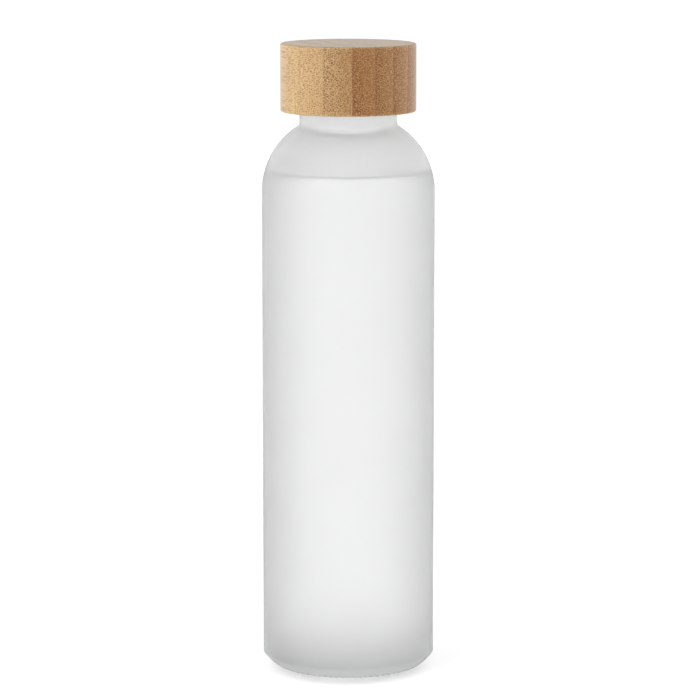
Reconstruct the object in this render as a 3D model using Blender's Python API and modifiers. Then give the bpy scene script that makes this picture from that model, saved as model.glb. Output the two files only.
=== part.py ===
"""Frosted glass water bottle with a turned bamboo screw cap, in metres, +Z up.

The bottle stands on the XY plane, centred on the Z axis. Everything is turned about that axis
except the two screw threads and the ribs on the cap's plastic liner.
The cap, its liner and its seal are modelled from the cap's rim up, and hang on an empty there.
"""

import math

import bmesh
import bpy

# Glass bottle
BODY_RADIUS = 0.0310
WALL = 0.0019
SHOULDER_RADIUS = 0.0276
SHOULDER_START = 0.1734
NECK_RADIUS = 0.0175
NECK_BORE = 0.0153
NECK_FILLET = 0.0010
MOUTH_HEIGHT = 0.2175
LIP_ROUND = 0.0007
HEEL_HEIGHT = 0.0048
HEEL_SLOPE = 47.0
HEEL_CORNER = 0.0008
HEEL_RADIUS = 0.0075
LAND_WIDTH = 0.0020
PUSH_UP = 0.0030
PUSH_UP_STEP = 0.0012
FLOOR_THICKNESS = 0.0038
FLOOR_CROWN = 0.0012
INNER_HEEL_RADIUS = 0.0065

# Screw thread: six turns to the inch, a rounded ridge on the glass and one on the liner
PITCH = 0.0254 / 6
NECK_RIDGE = 0.00125
NECK_THREAD_TOP = 0.2150
NECK_THREAD_TURNS = 1.5
LINER_RIDGE = 0.0011
LINER_THREAD_TURNS = 1.25
FADE_TURNS = 0.1
FADE_TO = 0.25

# Bamboo cap
GAP = 0.0003
CAP_RIM = 0.2021
CAP_RADIUS = 0.0243
CAP_HEIGHT = 0.0243
CAP_ROOF = 0.0045
CAP_BORE = 0.02115
CAP_ROUND = 0.0006

# Plastic liner with the cap's thread
LINER_RADIUS = CAP_BORE - GAP
LINER_BORE = 0.0192
LINER_RIM = 0.0005
LINER_TOP = CAP_HEIGHT - CAP_ROOF - GAP
LINER_ROOF = 0.0015
LINER_CHAMFER = 0.0005
RIB_COUNT = 24
RIB_DEPTH = 0.00025
RIB_START = 0.0015
BEAD_HEIGHT = 0.00065
BEAD_WIDTH = 0.0010

# Silicone seal under the liner's roof
SEAL_TOP = LINER_TOP - LINER_ROOF - GAP
SEAL_THICKNESS = 0.0020
SEAL_RADIUS = LINER_BORE - GAP
SEAL_BORE = 0.0148
SEAL_ROUND = 0.0003

STEPS = 48
THREAD_STEPS = 32
MERGE = 0.00001


def arc(centre, radius, start, end, count):
    """Points (r, z) along an arc about centre, from one angle to another in degrees."""
    angles = [math.radians(start + (end - start) * i / count) for i in range(count + 1)]
    return [(centre[0] + radius * math.cos(a), centre[1] + radius * math.sin(a)) for a in angles]


def crown(radius, edge_height, top_height, count):
    """Points (r, z) of a shallow dome, from its edge to the axis."""
    steps = [i / count for i in range(count + 1)]
    rise = top_height - edge_height
    return [(radius * (1 - t), edge_height + rise * (1 - (1 - t) ** 2)) for t in steps]


def material(name, colour, roughness, transmission=0.0):
    made = bpy.data.materials.new(name)
    made.use_nodes = True
    shader = made.node_tree.nodes["Principled BSDF"]
    shader.inputs["Base Color"].default_value = (*colour, 1.0)
    shader.inputs["Roughness"].default_value = roughness
    shader.inputs["Metallic"].default_value = 0.0
    shader.inputs["Transmission Weight"].default_value = transmission
    return made


def collection(name):
    made = bpy.data.collections.new(name)
    bpy.context.scene.collection.children.link(made)
    return made


def evaluated_mesh(obj):
    graph = bpy.context.evaluated_depsgraph_get()
    return bpy.data.meshes.new_from_object(obj.evaluated_get(graph))


def turned(name, profile, closed, into):
    """A solid turned about Z from points (r, z) that run up its inner side and down its outer side."""
    count = len(profile)
    edges = [(i, i + 1) for i in range(count - 1)]
    if closed:
        edges.append((count - 1, 0))
    mesh = bpy.data.meshes.new(name)
    mesh.from_pydata([(r, 0.0, z) for r, z in profile], edges, [])
    obj = bpy.data.objects.new(name, mesh)
    into.objects.link(obj)
    screw = obj.modifiers.new("turn", "SCREW")
    screw.steps = STEPS
    screw.render_steps = STEPS
    screw.use_merge_vertices = True
    screw.merge_threshold = MERGE
    obj.data = evaluated_mesh(obj)
    obj.modifiers.clear()
    return obj


def finish(obj, made, sharp_angle=35.0):
    """Smooth shading with sharp edges, and the piece's material."""
    obj.data.shade_smooth()
    obj.data.set_sharp_from_angle(angle=math.radians(sharp_angle))
    obj.data.materials.append(made)


def helical_ridge(name, radius, start, turns, thickness, into):
    """A right-handed thread ridge of round section, from height start on +X upwards.

    It thins out at both ends, as a moulded thread does.
    """
    count = round(turns * THREAD_STEPS)
    curve = bpy.data.curves.new(name, "CURVE")
    curve.dimensions = "3D"
    curve.bevel_depth = thickness
    curve.bevel_resolution = 2
    curve.use_fill_caps = True
    curve.twist_mode = "Z_UP"
    spline = curve.splines.new("POLY")
    spline.points.add(count)
    for i, point in enumerate(spline.points):
        turn = turns * i / count
        angle = 2 * math.pi * turn
        from_end = min(turn, turns - turn) / FADE_TURNS
        point.co = (radius * math.cos(angle), radius * math.sin(angle), start + PITCH * turn, 1.0)
        point.radius = min(1.0, FADE_TO + (1 - FADE_TO) * from_end)
    wire = bpy.data.objects.new(name, curve)
    into.objects.link(wire)
    return closed_mesh(wire, into)


def closed_mesh(wire, into):
    """The curve object as a closed mesh that a Boolean can use, in the curve's place."""
    name = wire.name
    mesh = evaluated_mesh(wire)
    placed = wire.matrix_world.copy()
    bpy.data.objects.remove(wire)
    body = bmesh.new()
    body.from_mesh(mesh)
    bmesh.ops.remove_doubles(body, verts=body.verts, dist=MERGE)
    bmesh.ops.recalc_face_normals(body, faces=body.faces)
    body.to_mesh(mesh)
    body.free()
    obj = bpy.data.objects.new(name, mesh)
    obj.matrix_world = placed
    obj.hide_render = True
    obj.display_type = "WIRE"
    into.objects.link(obj)
    return obj


def join(obj, other):
    union = obj.modifiers.new(other.name, "BOOLEAN")
    union.operation = "UNION"
    union.object = other


def neck_fillet():
    """The centre of the fillet between shoulder and neck, and its angle seen from the shoulder's centre."""
    across = NECK_RADIUS + NECK_FILLET - (BODY_RADIUS - SHOULDER_RADIUS)
    up = math.sqrt((SHOULDER_RADIUS + NECK_FILLET) ** 2 - across**2)
    centre = (NECK_RADIUS + NECK_FILLET, SHOULDER_START + up)
    return centre, math.degrees(math.atan2(up, across))


def heel_profile():
    """Points (r, z) of the heel: a crisp corner, a slanting band, and a round down to the land."""
    slope = math.radians(HEEL_SLOPE)
    foot = BODY_RADIUS - HEEL_HEIGHT / math.tan(slope)
    land = foot - HEEL_RADIUS * math.tan(slope / 2)
    turn = 90 - HEEL_SLOPE
    corner_rise = HEEL_CORNER * math.tan(math.radians(turn) / 2)
    corner = (BODY_RADIUS - HEEL_CORNER, HEEL_HEIGHT + corner_rise)
    points = arc(corner, HEEL_CORNER, 0, -turn, 2)
    points += arc((land, HEEL_RADIUS), HEEL_RADIUS, -turn, -90, 5)
    return points


def bottle_profile():
    """Points (r, z) from the middle of the inner floor, up the inside, over the lip and down to the base."""
    inner_radius = BODY_RADIUS - WALL
    inner_shoulder = SHOULDER_RADIUS - WALL
    shoulder = (BODY_RADIUS - SHOULDER_RADIUS, SHOULDER_START)
    bore_angle = math.degrees(math.acos((NECK_BORE - shoulder[0]) / inner_shoulder))
    fillet, fillet_angle = neck_fillet()
    floor = PUSH_UP + FLOOR_THICKNESS
    inner_heel = (inner_radius - INNER_HEEL_RADIUS, floor - FLOOR_CROWN + INNER_HEEL_RADIUS)
    lip = MOUTH_HEIGHT - LIP_ROUND
    heel = heel_profile()
    land = heel[-1][0]
    push_up = land - LAND_WIDTH - PUSH_UP_STEP

    points = crown(inner_heel[0], floor - FLOOR_CROWN, floor, 4)[:0:-1]
    points += arc(inner_heel, INNER_HEEL_RADIUS, -90, 0, 6)
    points += arc(shoulder, inner_shoulder, 0, bore_angle, 9)
    points += arc((NECK_BORE + LIP_ROUND, lip), LIP_ROUND, 180, 90, 3)
    points += arc((NECK_RADIUS - LIP_ROUND, lip), LIP_ROUND, 90, 0, 3)
    points += arc(fillet, NECK_FILLET, 180, 180 + fillet_angle, 3)
    points += arc(shoulder, SHOULDER_RADIUS, fillet_angle, 0, 12)[1:]
    points += heel
    points += [(land - LAND_WIDTH, 0.0)]
    points += crown(push_up, PUSH_UP_STEP, PUSH_UP, 4)
    return points


def glass_bottle(into, helpers):
    """One moulded piece: thick base with a push-up, straight wall, round shoulder and threaded neck."""
    bottle = turned("glass_bottle", bottle_profile(), False, into)
    finish(bottle, material("frosted_glass", (0.86, 0.89, 0.89), 0.45, 0.9))
    start = NECK_THREAD_TOP - PITCH * NECK_THREAD_TURNS
    ridge = helical_ridge(
        "neck_thread", NECK_RADIUS, start, NECK_THREAD_TURNS, NECK_RIDGE, helpers
    )
    join(bottle, ridge)
    return bottle


def bamboo_cap(rim, into):
    """The turned cup: flat top, small rounded edges and a blind bore for the liner."""
    bore_end = CAP_HEIGHT - CAP_ROOF
    edge = CAP_RADIUS - CAP_ROUND
    profile = [(0.0, CAP_HEIGHT)]
    profile += arc((edge, CAP_HEIGHT - CAP_ROUND), CAP_ROUND, 90, 0, 4)
    profile += arc((edge, CAP_ROUND), CAP_ROUND, 0, -90, 4)
    profile += [(CAP_BORE, 0.0), (CAP_BORE, bore_end), (0.0, bore_end)]
    cap = turned("bamboo_cap", profile, False, into)
    finish(cap, material("bamboo", (0.56, 0.35, 0.17), 0.55))
    cap.parent = rim
    return cap


def cut_grooves(liner):
    """Sinks the outside of the liner between its ribs, which key it into the bamboo."""
    for vertex in liner.data.vertices:
        on_wall = math.hypot(vertex.co.x, vertex.co.y) > LINER_RADIUS - MERGE
        column = round(math.atan2(vertex.co.y, vertex.co.x) / (2 * math.pi) * STEPS)
        if on_wall and vertex.co.z > RIB_START - MERGE and column % (STEPS // RIB_COUNT):
            vertex.co.x *= 1 - RIB_DEPTH / LINER_RADIUS
            vertex.co.y *= 1 - RIB_DEPTH / LINER_RADIUS


def liner_profile():
    """Points (r, z) of the liner, with a bead inside that holds the seal up under the roof."""
    ceiling = LINER_TOP - LINER_ROOF
    chamfer = LINER_CHAMFER
    bead_top = SEAL_TOP - SEAL_THICKNESS - GAP
    bead = LINER_BORE - BEAD_HEIGHT
    outside = [(0.0, LINER_TOP), (LINER_RADIUS - 2 * chamfer, LINER_TOP)]
    outside += [(LINER_RADIUS, LINER_TOP - 2 * chamfer), (LINER_RADIUS, RIB_START)]
    outside += [(LINER_RADIUS, LINER_RIM), (LINER_BORE + chamfer, LINER_RIM)]
    inside = [(LINER_BORE, LINER_RIM + chamfer), (LINER_BORE, bead_top - BEAD_WIDTH)]
    inside += [(bead, bead_top - BEAD_WIDTH / 2), (bead, bead_top - BEAD_WIDTH / 4)]
    inside += [(LINER_BORE, bead_top), (LINER_BORE, ceiling), (0.0, ceiling)]
    return outside + inside


def threaded_insert(rim, into, helpers):
    """The plastic liner glued into the cap: a flat roof, the cap's thread, and ribs outside."""
    liner = turned("threaded_insert", liner_profile(), False, into)
    cut_grooves(liner)
    finish(liner, material("white_plastic", (0.82, 0.82, 0.80), 0.4))
    neck_start = NECK_THREAD_TOP - PITCH * NECK_THREAD_TURNS - CAP_RIM
    ridge = helical_ridge(
        "liner_thread", LINER_BORE, neck_start - PITCH / 2, LINER_THREAD_TURNS, LINER_RIDGE, helpers
    )
    join(liner, ridge)
    ridge.parent = rim
    liner.parent = rim
    return liner


def seal_gasket(rim, into):
    """The flat silicone ring that the liner's roof presses on the mouth of the bottle."""
    low = SEAL_TOP - SEAL_THICKNESS
    edge = SEAL_ROUND
    profile = [(SEAL_RADIUS - edge, SEAL_TOP), (SEAL_RADIUS, SEAL_TOP - edge)]
    profile += [(SEAL_RADIUS, low + edge), (SEAL_RADIUS - edge, low)]
    profile += [(SEAL_BORE + edge, low), (SEAL_BORE, low + edge)]
    profile += [(SEAL_BORE, SEAL_TOP - edge), (SEAL_BORE + edge, SEAL_TOP)]
    seal = turned("seal_gasket", profile, True, into)
    finish(seal, material("silicone", (0.80, 0.80, 0.78), 0.6))
    seal.parent = rim
    return seal


def main():
    for obj in list(bpy.data.objects):
        bpy.data.objects.remove(obj)
    parts = collection("glass_water_bottle")
    helpers = collection("thread_ridges")
    rim = bpy.data.objects.new("cap_rim", None)
    rim.location = (0.0, 0.0, CAP_RIM)
    parts.objects.link(rim)

    glass_bottle(parts, helpers)
    bamboo_cap(rim, parts)
    threaded_insert(rim, parts, helpers)
    seal_gasket(rim, parts)


main()
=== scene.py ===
"""The looks of the glass water bottle: frosted glass, laminated bamboo, plastic liner and silicone seal.

Every piece is a turned mesh, in metres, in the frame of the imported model. Heights and radii that the
model fixes are read from it. The bottle stands on the XY plane and the photograph's camera is on -Y.
"""

import math

import bpy
import numpy as np
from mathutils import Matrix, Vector

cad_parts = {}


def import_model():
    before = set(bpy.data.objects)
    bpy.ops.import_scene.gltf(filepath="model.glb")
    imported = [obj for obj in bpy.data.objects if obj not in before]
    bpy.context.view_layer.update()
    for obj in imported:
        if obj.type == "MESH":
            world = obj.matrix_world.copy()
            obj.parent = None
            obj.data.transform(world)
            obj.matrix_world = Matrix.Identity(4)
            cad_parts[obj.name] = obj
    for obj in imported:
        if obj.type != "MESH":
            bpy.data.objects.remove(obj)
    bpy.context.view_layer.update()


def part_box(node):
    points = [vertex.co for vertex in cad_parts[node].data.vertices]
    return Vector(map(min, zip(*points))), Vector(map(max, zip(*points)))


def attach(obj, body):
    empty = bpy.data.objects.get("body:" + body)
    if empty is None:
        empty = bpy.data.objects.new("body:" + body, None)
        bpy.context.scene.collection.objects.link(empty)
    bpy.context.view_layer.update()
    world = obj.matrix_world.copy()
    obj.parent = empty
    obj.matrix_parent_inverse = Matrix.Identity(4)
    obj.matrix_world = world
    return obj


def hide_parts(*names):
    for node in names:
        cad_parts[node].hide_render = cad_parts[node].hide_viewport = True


MM = 0.001
SEGMENTS = 360
SHARP_ANGLE = 40.0
ON_WALL = 0.1 * MM

# Glass, as the model has it
WALL = 1.9 * MM
SHOULDER_RADIUS = 27.6 * MM
SHOULDER_START = 173.4 * MM
NECK_RADIUS = 17.5 * MM
NECK_BORE = 15.3 * MM
NECK_FILLET = 1.2 * MM
LIP_ROUND = 0.7 * MM
HEEL_HEIGHT = 4.8 * MM
HEEL_SLOPE = 47.0
HEEL_CORNER = 0.8 * MM
HEEL_RADIUS = 7.5 * MM
INNER_HEEL_RADIUS = 6.5 * MM
LAND_WIDTH = 2.0 * MM
PUSH_UP = 3.0 * MM
PUSH_UP_STEP = 1.2 * MM
FLOOR_THICKNESS = 3.8 * MM
FLOOR_CROWN = 1.2 * MM

# Glass, where it is finer than the model
KNURLS = 72
KNURL_HEIGHT = 0.28 * MM
KNURL_START = 21.4 * MM
KNURL_END = 28.2 * MM
KNURL_TOP = 2.6 * MM
NECK_ROOT_RADIUS = 4.0 * MM
SAG_DROP = 0.7 * MM
SAG_ANGLE = -86.0
SAG_SPREAD = 32.0

# Threads
PITCH = 25.4 * MM / 6
NECK_THREAD_BELOW_MOUTH = 2.5 * MM
NECK_THREAD_TURNS = 1.5
NECK_THREAD_HEIGHT = 1.2 * MM
LINER_THREAD_TURNS = 1.25
LINER_THREAD_HEIGHT = 1.05 * MM
THREAD_HALF_WIDTH = 1.75 * MM
THREAD_FADE = 0.12
THREAD_ROUNDNESS = 1.5

# Cap, liner and seal
CAP_ROUND = 0.6 * MM
CAP_BORE_CHAMFER = 0.2 * MM
LINER_BORE = 19.2 * MM
LINER_ROOF = 1.5 * MM
LINER_CHAMFER = 0.5 * MM
LINER_EDGE = 0.3 * MM
RIB_COUNT = 24
RIB_DEPTH = 0.25 * MM
RIB_START = 1.5 * MM
BEAD_HEIGHT = 0.65 * MM
BEAD_WIDTH = 1.0 * MM
BEAD_STEPS = 8
SEAL_BORE = 14.8 * MM
SEAL_EDGE = 0.35 * MM
GAP = 0.3 * MM

# Water
WATER_LEVEL = 179.7 * MM
MENISCUS_RISE = 1.5 * MM
MENISCUS_REACH = 1.8 * MM
MENISCUS_EXTENT = 4
MENISCUS_STEPS = 14
WATER_OVERLAP = 0.04 * MM

# Bamboo laminate: strips stacked across the block, with the fibres running through it. Each strip has
# where it starts across the block in mm, how brown it starts and ends, how dark its glue line is, and how
# thick its fibre bundles start and end.
FIBRE_TURN = 18.0
STRIPS = (
    (-30.0, 1.00, 0.35, 0.2, 0.4, 0.2),
    (-22.0, 0.36, 0.46, 0.3, 0.4, 0.2),
    (-15.3, 0.52, 0.78, 0.2, 0.9, 0.2),
    (-6.2, 1.00, 0.95, 1.0, 1.0, 0.4),
    (1.9, 1.00, 0.90, 0.7, 1.0, 0.3),
    (9.3, 1.00, 0.95, 0.7, 0.9, 0.2),
    (16.1, 1.30, 1.30, 0.5, 0.5, 0.2),
    (22.6, 1.10, 1.10, 0.3, 0.4, 0.2),
)
STRIPS_END = 30.0
STRIP_EDGE = 0.05
GLUE_LINE = 0.9
GRAIN_DRIFT = 1.2 * MM
BUNDLES_PER_METRE = 1700.0
BUNDLE_FLATNESS = 1.15
BUNDLE_WIDTH_TO_LENGTH = 0.15
BUNDLE_REACH = 0.22
BUNDLE_REACH_SPREAD = 0.10
BUNDLE_EDGE = 0.12
BUNDLE_SHADE = 0.68
DENSE_SHADE = 0.30
SIDE_GRAIN_SHADE = -0.25
# The two flat-face numbers paint a sheen on the top and bottom faces: paler wood and fainter fibre dots.
FLAT_FACE_SHEEN_DOT_FADE = -0.25
SIDE_GRAIN_PALENESS = 0.4
FLAT_FACE_SHEEN_PALENESS = 0.85
GLUE_SHARE = 0.45
PALE_BAMBOO = (0.545, 0.364, 0.170)
BROWN_BAMBOO = (0.276, 0.113, 0.024)
PALE_FLECKS = (0.66, 0.48, 0.27)
BUNDLE_COLOUR = (0.10, 0.025, 0.003)
GLUE_COLOUR = (0.14, 0.05, 0.015)
CLOUD_COLOUR = (0.34, 0.17, 0.06)

# Glass and water
FROSTED_TINT = (0.98, 0.985, 0.985)
CLEAR_TINT = (1.0, 1.0, 1.0)
GLASS_IOR = 1.40
GLASS_DEPTH_COLOUR = (0.72, 0.78, 0.78, 1.0)
GLASS_DEPTH_DENSITY = 6.0
WATER_IOR = 1.333

# Camera
CAMERA_DISTANCE = 1.2
CAMERA_HEIGHT = 0.306
AIM_HEIGHT = 0.1157
AIM_ASIDE = 0.0006
LENS = 173.0

# Light
WHITE = (1.0, 1.0, 1.0, 1.0)
KEY_PLACE = (-1.1, -1.2, 0.7)
KEY_TARGET = (0.0, 0.0, 0.12)
KEY_SIDE = 1.0
BACK_WALL = 0.82
LEFT_PANEL = 1.75
RIGHT_PANEL = 2.3
PANEL_TOP = 0.1
ROOM_LEFT = 1.1
ROOM_RIGHT = 0.9
ROOM_CEILING = 0.45
KEY_POWER = 8.0
HORIZON_GLOW = 0.2
FLOOR_GLOW = 0.5
# Painted contact shadow: the floor's glow dips in a ring round the foot of the bottle, shifted toward the
# camera, and rises to a painted pool of light under its middle.
SHADOW_RING_GLOW = 0.28
CENTRE_GLOW = 0.8
SHADOW_RING_SHIFT = 6.0 * MM
SHADOW_RING_START = 13.0 * MM
SHADOW_RING_DARKEST = 22.0 * MM
SHADOW_RING_END = 31.0 * MM
FLOOR_SIDE = 20.0
FLOOR_COLOUR = (0.85, 0.85, 0.85, 1.0)


def arc(centre, radius, start, end, count):
    """Points (r, z) along an arc about centre, from one angle to another in degrees."""
    angles = [math.radians(start + (end - start) * i / count) for i in range(count + 1)]
    return [(centre[0] + radius * math.cos(a), centre[1] + radius * math.sin(a)) for a in angles]


def line(start, end, count):
    """Points (r, z) along a straight line, both ends left out."""
    steps = [i / count for i in range(1, count)]
    return [(start[0] + (end[0] - start[0]) * t, start[1] + (end[1] - start[1]) * t) for t in steps]


def crown(radius, edge_height, top_height, count):
    """Points (r, z) of a shallow dome, from its edge to the axis."""
    rise = top_height - edge_height
    steps = [i / count for i in range(count + 1)]
    return [(radius * (1 - t), edge_height + rise * (1 - (1 - t) ** 2)) for t in steps]


def lathe(name, profile, shape=None, ring=False):
    """A mesh turned about Z from points (r, z) that run up the inner side and down the outer side.

    shape(r, z, angle) may move the points, and gets and returns arrays with a row for each point of
    the profile and a column for each segment. A ring closes on itself. Any other profile ends on the axis.
    """
    angle = np.arange(SEGMENTS) * 2 * np.pi / SEGMENTS
    points = np.array(profile if ring else profile[1:-1])
    r = np.repeat(points[:, :1], SEGMENTS, axis=1)
    z = np.repeat(points[:, 1:], SEGMENTS, axis=1)
    angle = np.repeat(angle[None, :], len(points), axis=0)
    if shape is not None:
        r, z = shape(r, z, angle)
    verts = np.stack([r * np.cos(angle), r * np.sin(angle), z], axis=-1).reshape(-1, 3).tolist()

    def vertex(row, column):
        return (row % len(points)) * SEGMENTS + column % SEGMENTS

    faces = []
    for row in range(len(points) if ring else len(points) - 1):
        for column in range(SEGMENTS):
            corners = ((row, column), (row + 1, column), (row + 1, column + 1), (row, column + 1))
            faces.append([vertex(*corner) for corner in corners])
    if not ring:
        first, last = len(verts), len(verts) + 1
        verts += [(0.0, 0.0, profile[0][1]), (0.0, 0.0, profile[-1][1])]
        for column in range(SEGMENTS):
            faces.append([first, vertex(0, column), vertex(0, column + 1)])
            faces.append([last, vertex(len(points) - 1, column + 1), vertex(len(points) - 1, column)])
    mesh = bpy.data.meshes.new(name)
    mesh.from_pydata(verts, [], faces)
    mesh.validate()
    mesh.shade_smooth()
    mesh.set_sharp_from_angle(angle=math.radians(SHARP_ANGLE))
    piece = bpy.data.objects.new(name, mesh)
    bpy.context.scene.collection.objects.link(piece)
    return piece


def thread(z, angle, start, turns, height):
    """How far a right-handed thread ridge, starting at height start on +X, stands out at each point."""
    out = np.zeros_like(z)
    for lap in range(math.ceil(turns)):
        turn = angle / (2 * np.pi) + lap
        off = np.clip(np.abs(z - start - PITCH * turn) / THREAD_HALF_WIDTH, 0, 1)
        fade = np.clip(np.minimum(turn, turns - turn) / THREAD_FADE, 0, 1)
        ridge = height * np.cos(off * np.pi / 2) ** THREAD_ROUNDNESS * np.sqrt(fade)
        out = np.maximum(out, ridge)
    return out


def inner_profile(body_radius, mouth):
    """Points (r, z) of the inside of the glass, from the middle of the floor to the neck."""
    inner = body_radius - WALL
    shoulder = (body_radius - SHOULDER_RADIUS, SHOULDER_START)
    radius = SHOULDER_RADIUS - WALL
    floor = PUSH_UP + FLOOR_THICKNESS
    heel = (inner - INNER_HEEL_RADIUS, floor - FLOOR_CROWN + INNER_HEEL_RADIUS)
    across = NECK_BORE + NECK_ROOT_RADIUS - shoulder[0]
    up = math.sqrt((radius + NECK_ROOT_RADIUS) ** 2 - across**2)
    fillet = (NECK_BORE + NECK_ROOT_RADIUS, SHOULDER_START + up)
    turn = math.degrees(math.atan2(up, across))
    points = crown(heel[0], floor - FLOOR_CROWN, floor, 10)[:0:-1]
    points += arc(heel, INNER_HEEL_RADIUS, -90, 0, 12)
    points += line(points[-1], (inner, SHOULDER_START), 10)
    points += arc(shoulder, radius, 0, turn, 36)
    points += arc(fillet, NECK_ROOT_RADIUS, 180 + turn, 180, 10)[1:]
    points += line(points[-1], (NECK_BORE, mouth - LIP_ROUND), 8)
    return points


def heel_profile(body_radius):
    """Points (r, z) of the heel: a crisp corner, a slanting band, and a round down to the land."""
    slope = math.radians(HEEL_SLOPE)
    foot = body_radius - HEEL_HEIGHT / math.tan(slope)
    land = foot - HEEL_RADIUS * math.tan(slope / 2)
    turn = 90 - HEEL_SLOPE
    corner_rise = HEEL_CORNER * math.tan(math.radians(turn) / 2)
    corner = (body_radius - HEEL_CORNER, HEEL_HEIGHT + corner_rise)
    points = arc(corner, HEEL_CORNER, 0, -turn, 6)
    points += arc((land, HEEL_RADIUS), HEEL_RADIUS, -turn, -90, 12)
    return points


def outer_profile(body_radius, mouth):
    """Points (r, z) of the outside of the glass, from the lip down to the middle of the base."""
    shoulder = (body_radius - SHOULDER_RADIUS, SHOULDER_START)
    across = NECK_RADIUS + NECK_FILLET - shoulder[0]
    up = math.sqrt((SHOULDER_RADIUS + NECK_FILLET) ** 2 - across**2)
    fillet = (NECK_RADIUS + NECK_FILLET, SHOULDER_START + up)
    turn = math.degrees(math.atan2(up, across))
    lip = mouth - LIP_ROUND
    heel = heel_profile(body_radius)
    land = heel[-1][0]
    push_up = land - LAND_WIDTH - PUSH_UP_STEP
    points = arc((NECK_BORE + LIP_ROUND, lip), LIP_ROUND, 180, 90, 6)
    points += arc((NECK_RADIUS - LIP_ROUND, lip), LIP_ROUND, 90, 0, 6)
    points += line(points[-1], (NECK_RADIUS, fillet[1]), 80)
    points += arc(fillet, NECK_FILLET, 180, 180 + turn, 6)
    points += arc(shoulder, SHOULDER_RADIUS, turn, 0, 36)[1:]
    points += line(points[-1], heel[0], 10)
    points += heel
    points += line(points[-1], (land - LAND_WIDTH, 0.0), 6)
    points += [(land - LAND_WIDTH, 0.0)]
    points += crown(push_up, PUSH_UP_STEP, PUSH_UP, 10)
    return points


def glass_bottle(body_radius, mouth):
    """The glass, with its thread, the teeth round its base and the sag inside the root of its neck."""
    thread_start = mouth - NECK_THREAD_BELOW_MOUTH - PITCH * NECK_THREAD_TURNS
    inside = inner_profile(body_radius, mouth)
    root = SHOULDER_START + SHOULDER_RADIUS - NECK_ROOT_RADIUS

    def shape(r, z, angle):
        is_inside = np.arange(len(r))[:, None] < len(inside) - 1
        on_neck = (r > NECK_RADIUS - LIP_ROUND / 2) & (z > SHOULDER_START + SHOULDER_RADIUS / 2)
        ridge = thread(z, angle, thread_start, NECK_THREAD_TURNS, NECK_THREAD_HEIGHT)
        r = np.where(on_neck & (r < NECK_RADIUS + ON_WALL), r + ridge, r)
        window = np.clip((r - KNURL_START) * (KNURL_END - r), 0, None) * (z < KNURL_TOP)
        notch = 0.5 - 0.5 * np.cos(KNURLS * angle)
        z = z + KNURL_HEIGHT * notch * np.sqrt(window) / ((KNURL_END - KNURL_START) / 2)
        away = (np.degrees(angle) - SAG_ANGLE + 180) % 360 - 180
        near_root = np.exp(-(((z - root) / NECK_ROOT_RADIUS) ** 2))
        sag = SAG_DROP * np.exp(-((away / SAG_SPREAD) ** 2)) * near_root
        return r, np.where(is_inside, z - sag, z)

    profile = inside + outer_profile(body_radius, mouth)
    piece = lathe("frosted_bottle", profile, shape)
    piece.data.materials.append(frosted_glass())
    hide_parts("glass_bottle")
    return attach(piece, "bottle")


def water(body_radius, mouth):
    """The water that fills the bottle, with its edge drawn up where it wets the glass."""
    rim_height = WATER_LEVEL + MENISCUS_RISE
    inside = [(r, z) for r, z in inner_profile(body_radius, mouth) if z < rim_height]
    wall = [(r + WATER_OVERLAP if r > 0 else r, z) for r, z in inside]
    rim = wall[-1][0]
    profile = [(0.0, WATER_LEVEL)]
    for i in range(MENISCUS_STEPS, 0, -1):
        inward = MENISCUS_REACH * MENISCUS_EXTENT * (i / MENISCUS_STEPS) ** 2
        rise = MENISCUS_RISE * math.exp(-inward / MENISCUS_REACH)
        profile.append((rim - inward, WATER_LEVEL + rise))
    profile += wall[::-1]
    piece = lathe("water_fill", profile)
    piece.data.materials.append(clear_water())
    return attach(piece, "bottle")


def bamboo_cap(low, high):
    """The turned cup, bored out for the liner."""
    radius = high.x
    liner_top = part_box("threaded_insert")[1].z
    liner_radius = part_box("threaded_insert")[1].x
    bore = liner_radius + GAP
    roof = liner_top + GAP
    edge = radius - CAP_ROUND
    profile = [(0.0, high.z)]
    profile += line((0.0, high.z), (edge, high.z), 12)
    profile += arc((edge, high.z - CAP_ROUND), CAP_ROUND, 90, 0, 6)
    profile += line((radius, high.z - CAP_ROUND), (radius, low.z + CAP_ROUND), 24)
    profile += arc((edge, low.z + CAP_ROUND), CAP_ROUND, 0, -90, 6)
    profile += [(bore + CAP_BORE_CHAMFER, low.z), (bore, low.z + CAP_BORE_CHAMFER)]
    profile += line((bore, low.z), (bore, roof), 12)
    profile += [(bore, roof), (0.0, roof)]
    piece = lathe("laminated_bamboo_cap", profile)
    piece.data.materials.append(bamboo())
    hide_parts("bamboo_cap")
    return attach(piece, "cap")


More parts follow.
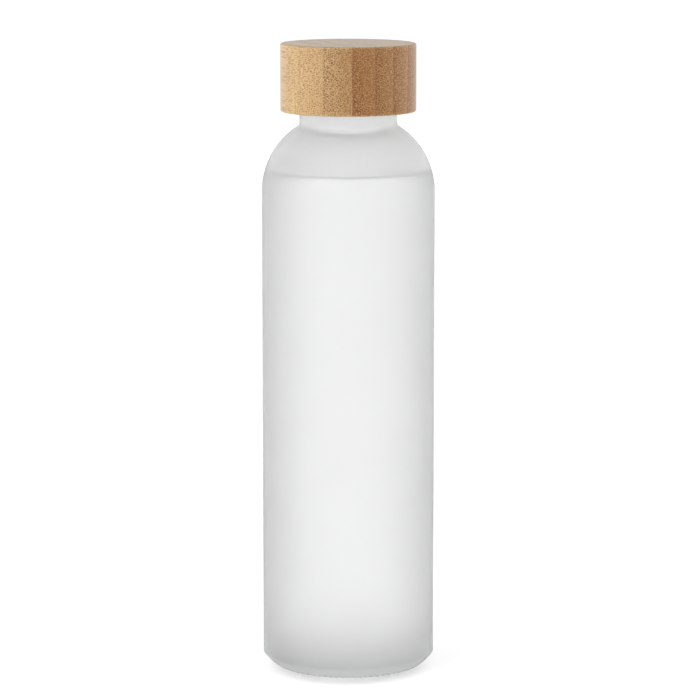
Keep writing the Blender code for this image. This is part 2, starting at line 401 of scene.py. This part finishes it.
def threaded_insert(low, high, mouth):
    """The liner, with its thread, the bead that holds the seal and the ribs that key it into the bamboo."""
    radius = high.x
    ceiling = high.z - LINER_ROOF
    seal_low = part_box("seal_gasket")[0].z
    bead_top = seal_low - GAP
    start = mouth - NECK_THREAD_BELOW_MOUTH - PITCH * NECK_THREAD_TURNS - PITCH / 2

    def shape(r, z, angle):
        inside = np.abs(r - LINER_BORE) < ON_WALL
        ridge = thread(z, angle, start, LINER_THREAD_TURNS, LINER_THREAD_HEIGHT)
        r = np.where(inside, r - ridge, r)
        outside = (r > radius - ON_WALL) & (z > low.z + RIB_START)
        groove = RIB_DEPTH * (0.5 - 0.5 * np.cos(RIB_COUNT * angle))
        return np.where(outside, r - groove, r), z

    top_edge = (radius - LINER_CHAMFER, high.z - LINER_CHAMFER)
    mouth_edge = (LINER_BORE + LINER_CHAMFER, low.z + LINER_CHAMFER)
    profile = [(0.0, high.z), (radius - 2 * LINER_CHAMFER, high.z)]
    profile += arc(top_edge, LINER_CHAMFER, 90, 0, 4)
    profile += line((radius, top_edge[1]), (radius, low.z), 16)
    profile += arc((radius - LINER_EDGE, low.z + LINER_EDGE), LINER_EDGE, 0, -90, 3)
    profile += arc(mouth_edge, LINER_CHAMFER, -90, -180, 4)
    profile += line((LINER_BORE, mouth_edge[1]), (LINER_BORE, bead_top - BEAD_WIDTH), 80)
    for i in range(BEAD_STEPS + 1):
        swell = math.sin(math.pi * i / BEAD_STEPS)
        profile.append((LINER_BORE - BEAD_HEIGHT * swell, bead_top - BEAD_WIDTH * (1 - i / BEAD_STEPS)))
    profile += line((LINER_BORE, bead_top), (LINER_BORE, ceiling), 6)
    profile += [(LINER_BORE, ceiling), (0.0, ceiling)]
    piece = lathe("threaded_liner", profile, shape)
    piece.data.materials.append(white_plastic())
    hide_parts("threaded_insert")
    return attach(piece, "cap")


def seal_gasket(low, high):
    """A flat ring with rounded edges."""
    inner, outer = SEAL_BORE + SEAL_EDGE, high.x - SEAL_EDGE
    bottom, top = low.z + SEAL_EDGE, high.z - SEAL_EDGE
    profile = arc((outer, top), SEAL_EDGE, 90, 0, 4)
    profile += arc((outer, bottom), SEAL_EDGE, 0, -90, 4)
    profile += arc((inner, bottom), SEAL_EDGE, -90, -180, 4)
    profile += arc((inner, top), SEAL_EDGE, 180, 90, 4)
    piece = lathe("silicone_seal", profile, ring=True)
    piece.data.materials.append(silicone())
    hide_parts("seal_gasket")
    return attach(piece, "seal")


class Nodes:
    """A node tree, with short calls to add nodes and link them."""

    def __init__(self, tree):
        self.tree = tree

    def node(self, kind, **settings):
        made = self.tree.nodes.new("ShaderNode" + kind)
        for key, value in settings.items():
            setattr(made, key, value)
        return made

    def link(self, source, target):
        self.tree.links.new(source, target)

    def math(self, operation, a, b=0.0, c=0.0):
        made = self.node("Math", operation=operation)
        for socket, value in zip(made.inputs, (a, b, c), strict=True):
            if isinstance(value, (int, float)):
                socket.default_value = value
            else:
                self.link(value, socket)
        return made.outputs[0]

    def ranged(self, value, low, high, to_low, to_high, kind="SMOOTHSTEP"):
        made = self.node("MapRange", interpolation_type=kind)
        self.link(value, made.inputs["Value"])
        made.inputs["From Min"].default_value = low
        made.inputs["From Max"].default_value = high
        made.inputs["To Min"].default_value = to_low
        made.inputs["To Max"].default_value = to_high
        return made.outputs["Result"]

    def parts(self, vector):
        """The X, Y and Z of a vector, or the red, green and blue of a colour."""
        made = self.node("SeparateXYZ")
        self.link(vector, made.inputs[0])
        return list(made.outputs)

    def joined(self, *values):
        made = self.node("CombineXYZ")
        for socket, value in zip(made.inputs, values, strict=True):
            if isinstance(value, (int, float)):
                socket.default_value = value
            else:
                self.link(value, socket)
        return made.outputs[0]

    def noise(self, vector, scale, detail=2.0, roughness=0.5, output="Fac"):
        made = self.node("TexNoise")
        made.inputs["Scale"].default_value = scale
        made.inputs["Detail"].default_value = detail
        made.inputs["Roughness"].default_value = roughness
        self.link(vector, made.inputs["Vector"])
        return made.outputs[output]

    def mix(self, share, a, b, blend="MIX"):
        made = self.node("Mix", data_type="RGBA", blend_type=blend)
        for socket, value in ((made.inputs[0], share), (made.inputs[6], a), (made.inputs[7], b)):
            if isinstance(value, (int, float)):
                socket.default_value = value
            elif isinstance(value, tuple):
                socket.default_value = (*value, 1.0)
            else:
                self.link(value, socket)
        return made.outputs[2]


class Shader(Nodes):
    """The node tree of a new material, around its Principled shader."""

    def __init__(self, name):
        self.material = bpy.data.materials.new(name)
        self.material.use_nodes = True
        super().__init__(self.material.node_tree)
        self.principled = self.tree.nodes["Principled BSDF"]
        self.output = self.tree.nodes["Material Output"]

    def set(self, **values):
        for key, value in values.items():
            self.principled.inputs[key.replace("_", " ")].default_value = value

    def bump(self, height, strength, distance):
        made = self.node("Bump")
        made.inputs["Strength"].default_value = strength
        made.inputs["Distance"].default_value = distance
        self.link(height, made.inputs["Height"])
        self.link(made.outputs["Normal"], self.principled.inputs["Normal"])


def frosted_glass():
    """Acid-frosted outside: a fine even grain that blurs what is behind it."""
    s = Shader("frosted_glass")
    place = s.node("TexCoord").outputs["Object"]
    grain = s.noise(place, 2600.0, 3.0, 0.6)
    cloud = s.noise(place, 60.0, 3.0, 0.5)
    s.set(IOR=GLASS_IOR, Transmission_Weight=1.0)
    s.link(s.ranged(cloud, 0.3, 0.7, 0.56, 0.62), s.principled.inputs["Roughness"])
    s.link(s.mix(cloud, FROSTED_TINT, CLEAR_TINT), s.principled.inputs["Base Color"])
    s.bump(grain, 0.15, 0.00005)
    absorb = s.node("VolumeAbsorption")
    absorb.inputs["Color"].default_value = GLASS_DEPTH_COLOUR
    absorb.inputs["Density"].default_value = GLASS_DEPTH_DENSITY
    s.link(absorb.outputs[0], s.output.inputs["Volume"])
    return s.material


def clear_water():
    """Clear water with a barely uneven surface."""
    s = Shader("clear_water")
    place = s.node("TexCoord").outputs["Object"]
    s.set(Roughness=0.0, IOR=WATER_IOR, Transmission_Weight=1.0, Base_Color=WHITE)
    s.bump(s.noise(place, 40.0), 0.05, 0.0002)
    return s.material


def bamboo():
    """Turned laminate: end grain where the fibres meet the surface, streaks where they run along it, and a
    painted sheen that makes the top and bottom faces paler.
    """
    s = Shader("bamboo")
    place = s.node("TexCoord").outputs["Object"]
    fibre_turn = math.radians(FIBRE_TURN)
    turn = s.node("VectorRotate", rotation_type="Z_AXIS")
    turn.inputs["Angle"].default_value = -fibre_turn
    s.link(place, turn.inputs["Vector"])
    across, along, up = s.parts(turn.outputs[0])
    drift = s.parts(s.noise(s.joined(s.math("MULTIPLY", along, 0.3), across, up), 45.0, output="Color"))
    across = s.math("ADD", across, s.math("MULTIPLY_ADD", drift[0], GRAIN_DRIFT, -GRAIN_DRIFT / 2))
    up = s.math("ADD", up, s.math("MULTIPLY_ADD", drift[1], GRAIN_DRIFT, -GRAIN_DRIFT / 2))

    first = STRIPS[0][0]
    span = STRIPS_END - first
    ramp = s.node("ValToRGB")
    s.link(s.ranged(across, first * MM, STRIPS_END * MM, 0.0, 1.0, "LINEAR"), ramp.inputs["Fac"])
    stops = ramp.color_ramp.elements
    while len(stops) > 1:
        stops.remove(stops[0])
    ends = [strip[0] for strip in STRIPS[1:]] + [STRIPS_END]
    for (edge, brown, browner, glue, dense, thinner), strip_end in zip(STRIPS, ends, strict=True):
        for where, colour in (
            (edge + STRIP_EDGE, (brown, glue, dense)),
            (edge + GLUE_LINE, (brown, 0.0, dense)),
            (strip_end - STRIP_EDGE, (browner, 0.0, thinner)),
        ):
            stops.new((where - first) / span).color = (*colour, 1.0)
    brown, glue, dense = s.parts(ramp.outputs["Color"])

    lengthwise = s.math("MULTIPLY", along, BUNDLE_WIDTH_TO_LENGTH)
    section = s.joined(across, s.math("MULTIPLY", up, BUNDLE_FLATNESS), lengthwise)
    bundles = s.node("TexVoronoi", voronoi_dimensions="2D")
    bundles.inputs["Scale"].default_value = BUNDLES_PER_METRE
    bundles.inputs["Randomness"].default_value = 0.85
    s.link(section, bundles.inputs["Vector"])
    size = s.parts(bundles.outputs["Color"])[0]
    reach = s.math("MULTIPLY_ADD", dense, BUNDLE_REACH_SPREAD, BUNDLE_REACH)
    reach = s.math("MULTIPLY_ADD", size, BUNDLE_REACH_SPREAD, reach)
    near = s.math("SUBTRACT", bundles.outputs["Distance"], reach)
    breaks = s.ranged(s.noise(section, 800.0, 1.0), 0.33, 0.52, 0.35, 1.0)
    dots = s.math("MULTIPLY", s.ranged(near, BUNDLE_EDGE, -BUNDLE_EDGE, 0.0, 1.0), breaks)
    fine = s.noise(section, 1900.0, 2.0)
    cloud = s.noise(place, 90.0, 3.0)

    facing = s.node("VectorMath", operation="DOT_PRODUCT")
    normal = s.node("TexCoord").outputs["Normal"]
    s.link(normal, facing.inputs[0])
    facing.inputs[1].default_value = (-math.sin(fibre_turn), math.cos(fibre_turn), 0.0)
    side_grain = s.ranged(s.math("ABSOLUTE", facing.outputs["Value"]), 0.35, 1.0, 1.0, 0.0, "LINEAR")
    brown = s.math("MULTIPLY_ADD", side_grain, -SIDE_GRAIN_PALENESS, brown)
    # Painted sheen: faces turned up or down, the top above all, get paler wood for the light they reflect.
    painted_sheen_face = s.math("ABSOLUTE", s.parts(normal)[2])
    brown = s.math("MULTIPLY_ADD", painted_sheen_face, -FLAT_FACE_SHEEN_PALENESS, brown)
    ground = s.mix(brown, PALE_BAMBOO, BROWN_BAMBOO)
    pale = s.mix(s.ranged(fine, 0.45, 0.65, 0.0, 0.30), ground, PALE_FLECKS)
    shade = s.math("MULTIPLY_ADD", dense, DENSE_SHADE, BUNDLE_SHADE)
    shade = s.math("MULTIPLY_ADD", side_grain, SIDE_GRAIN_SHADE, shade)
    # Painted sheen: fainter fibre dots on the top and bottom faces.
    shade = s.math("MULTIPLY_ADD", painted_sheen_face, FLAT_FACE_SHEEN_DOT_FADE, shade)
    dotted = s.mix(s.math("MULTIPLY", dots, shade), pale, BUNDLE_COLOUR)
    glued = s.mix(s.math("MULTIPLY", glue, GLUE_SHARE), dotted, GLUE_COLOUR)
    tint = s.mix(s.ranged(cloud, 0.3, 0.7, 0.0, 0.15), glued, CLOUD_COLOUR)
    s.link(tint, s.principled.inputs["Base Color"])
    s.link(s.ranged(fine, 0.3, 0.7, 0.48, 0.60), s.principled.inputs["Roughness"])
    s.set(Coat_Weight=0.8, Coat_Roughness=0.25, Coat_IOR=1.25, Specular_IOR_Level=0.2)
    s.bump(dots, 0.2, -0.00006)
    return s.material


def white_plastic():
    """Moulded polypropylene with a faint grain."""
    s = Shader("white_plastic")
    place = s.node("TexCoord").outputs["Object"]
    cloud = s.noise(place, 150.0, 3.0)
    s.set(Subsurface_Weight=0.15, Subsurface_Scale=0.002)
    s.link(s.mix(cloud, (0.80, 0.80, 0.78), (0.86, 0.86, 0.84)), s.principled.inputs["Base Color"])
    s.link(s.ranged(cloud, 0.3, 0.7, 0.35, 0.45), s.principled.inputs["Roughness"])
    s.bump(s.noise(place, 3000.0), 0.1, 0.00003)
    return s.material


def silicone():
    """Milky rubber that lets a little light in."""
    s = Shader("silicone")
    place = s.node("TexCoord").outputs["Object"]
    cloud = s.noise(place, 200.0, 3.0)
    s.set(Subsurface_Weight=0.4, Subsurface_Scale=0.002)
    s.link(s.mix(cloud, (0.78, 0.79, 0.78), (0.84, 0.85, 0.84)), s.principled.inputs["Base Color"])
    s.link(s.ranged(cloud, 0.3, 0.7, 0.45, 0.6), s.principled.inputs["Roughness"])
    s.bump(s.noise(place, 2500.0), 0.1, 0.00003)
    return s.material


def camera():
    """A long lens, a little above the cap, looking down at the middle of the bottle."""
    data = bpy.data.cameras.new("camera")
    data.lens = LENS
    data.sensor_width = 36.0
    data.clip_start = 0.05
    data.clip_end = 100.0
    made = bpy.data.objects.new("camera", data)
    bpy.context.scene.collection.objects.link(made)
    made.location = (AIM_ASIDE, -CAMERA_DISTANCE, CAMERA_HEIGHT)
    aim = Vector((AIM_ASIDE, 0.0, AIM_HEIGHT)) - made.location
    made.rotation_euler = aim.to_track_quat("-Z", "Y").to_euler()
    bpy.context.scene.camera = made


def key_light():
    """One large soft light from the front left."""
    data = bpy.data.lights.new("key", "AREA")
    data.shape = "RECTANGLE"
    data.size = data.size_y = KEY_SIDE
    data.energy = KEY_POWER
    made = bpy.data.objects.new("key", data)
    bpy.context.scene.collection.objects.link(made)
    made.location = KEY_PLACE
    made.rotation_euler = (Vector(KEY_TARGET) - Vector(KEY_PLACE)).to_track_quat("-Z", "Y").to_euler()
    made.visible_camera = False


def room_light():
    """A pale wall behind, a brighter room in front, a bright panel at each side, and a dimmer ceiling."""
    world = bpy.data.worlds.new("studio")
    bpy.context.scene.world = world
    world.use_nodes = True
    room = Nodes(world.node_tree)
    x, y, z = room.parts(room.node("TexCoord").outputs["Generated"])
    front = room.ranged(x, -0.8, 0.8, ROOM_LEFT, ROOM_RIGHT)
    back = room.math("SUBTRACT", BACK_WALL, front)
    level = room.math("MULTIPLY_ADD", room.ranged(y, -0.7, 0.4, 0.0, 1.0), back, front)
    aside = room.ranged(room.math("ABSOLUTE", x), 0.3, 0.9, 0.0, 1.0)
    aside = room.math("MULTIPLY", aside, room.ranged(z, 0.05, 0.35, 1.0, PANEL_TOP))
    panels = room.ranged(x, -0.3, 0.3, LEFT_PANEL, RIGHT_PANEL)
    level = room.math("MULTIPLY_ADD", aside, panels, level)
    level = room.math("MULTIPLY", level, room.ranged(z, 0.15, 0.85, 1.0, ROOM_CEILING))
    level = room.math("ADD", level, room.ranged(z, 0.03, 0.15, HORIZON_GLOW, 0.0))
    background = world.node_tree.nodes["Background"]
    room.link(level, background.inputs["Strength"])
    background.inputs["Color"].default_value = WHITE


def light_table():
    """A white floor that glows, with a painted contact shadow: the glow is less in a ring under the edge of
    the bottle, and more under its middle, a painted pool of light.
    """
    mesh = bpy.data.meshes.new("floor")
    corners = [(-1, -1), (1, -1), (1, 1), (-1, 1)]
    mesh.from_pydata([(x * FLOOR_SIDE, y * FLOOR_SIDE, 0) for x, y in corners], [], [(0, 1, 2, 3)])
    floor = bpy.data.objects.new("floor", mesh)
    bpy.context.scene.collection.objects.link(floor)
    paint = Shader("floor")
    paint.set(Base_Color=FLOOR_COLOUR, Roughness=0.9, Emission_Color=WHITE)
    reach = paint.node("VectorMath", operation="DISTANCE")
    paint.link(paint.node("TexCoord").outputs["Object"], reach.inputs[0])
    reach.inputs[1].default_value = (0.0, -SHADOW_RING_SHIFT, 0.0)
    reach = reach.outputs["Value"]
    # Painted contact shadow: the glow dips in a ring round the bottle's foot, with a painted pool of
    # brighter glow inside the ring.
    inner = paint.ranged(reach, SHADOW_RING_START, SHADOW_RING_DARKEST, CENTRE_GLOW, SHADOW_RING_GLOW)
    outer = paint.ranged(reach, SHADOW_RING_DARKEST, SHADOW_RING_END, SHADOW_RING_GLOW, FLOOR_GLOW)
    paint.link(paint.math("MAXIMUM", inner, outer), paint.principled.inputs["Emission Strength"])
    mesh.materials.append(paint.material)


def main():
    bpy.context.scene.view_settings.view_transform = "Standard"
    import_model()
    camera()
    room_light()
    key_light()
    light_table()

    low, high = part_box("glass_bottle")
    body_radius, mouth = high.x, high.z
    glass_bottle(body_radius, mouth)
    water(body_radius, mouth)
    bamboo_cap(*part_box("bamboo_cap"))
    threaded_insert(*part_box("threaded_insert"), mouth)
    seal_gasket(*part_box("seal_gasket"))

    bpy.context.view_layer.update()


main()
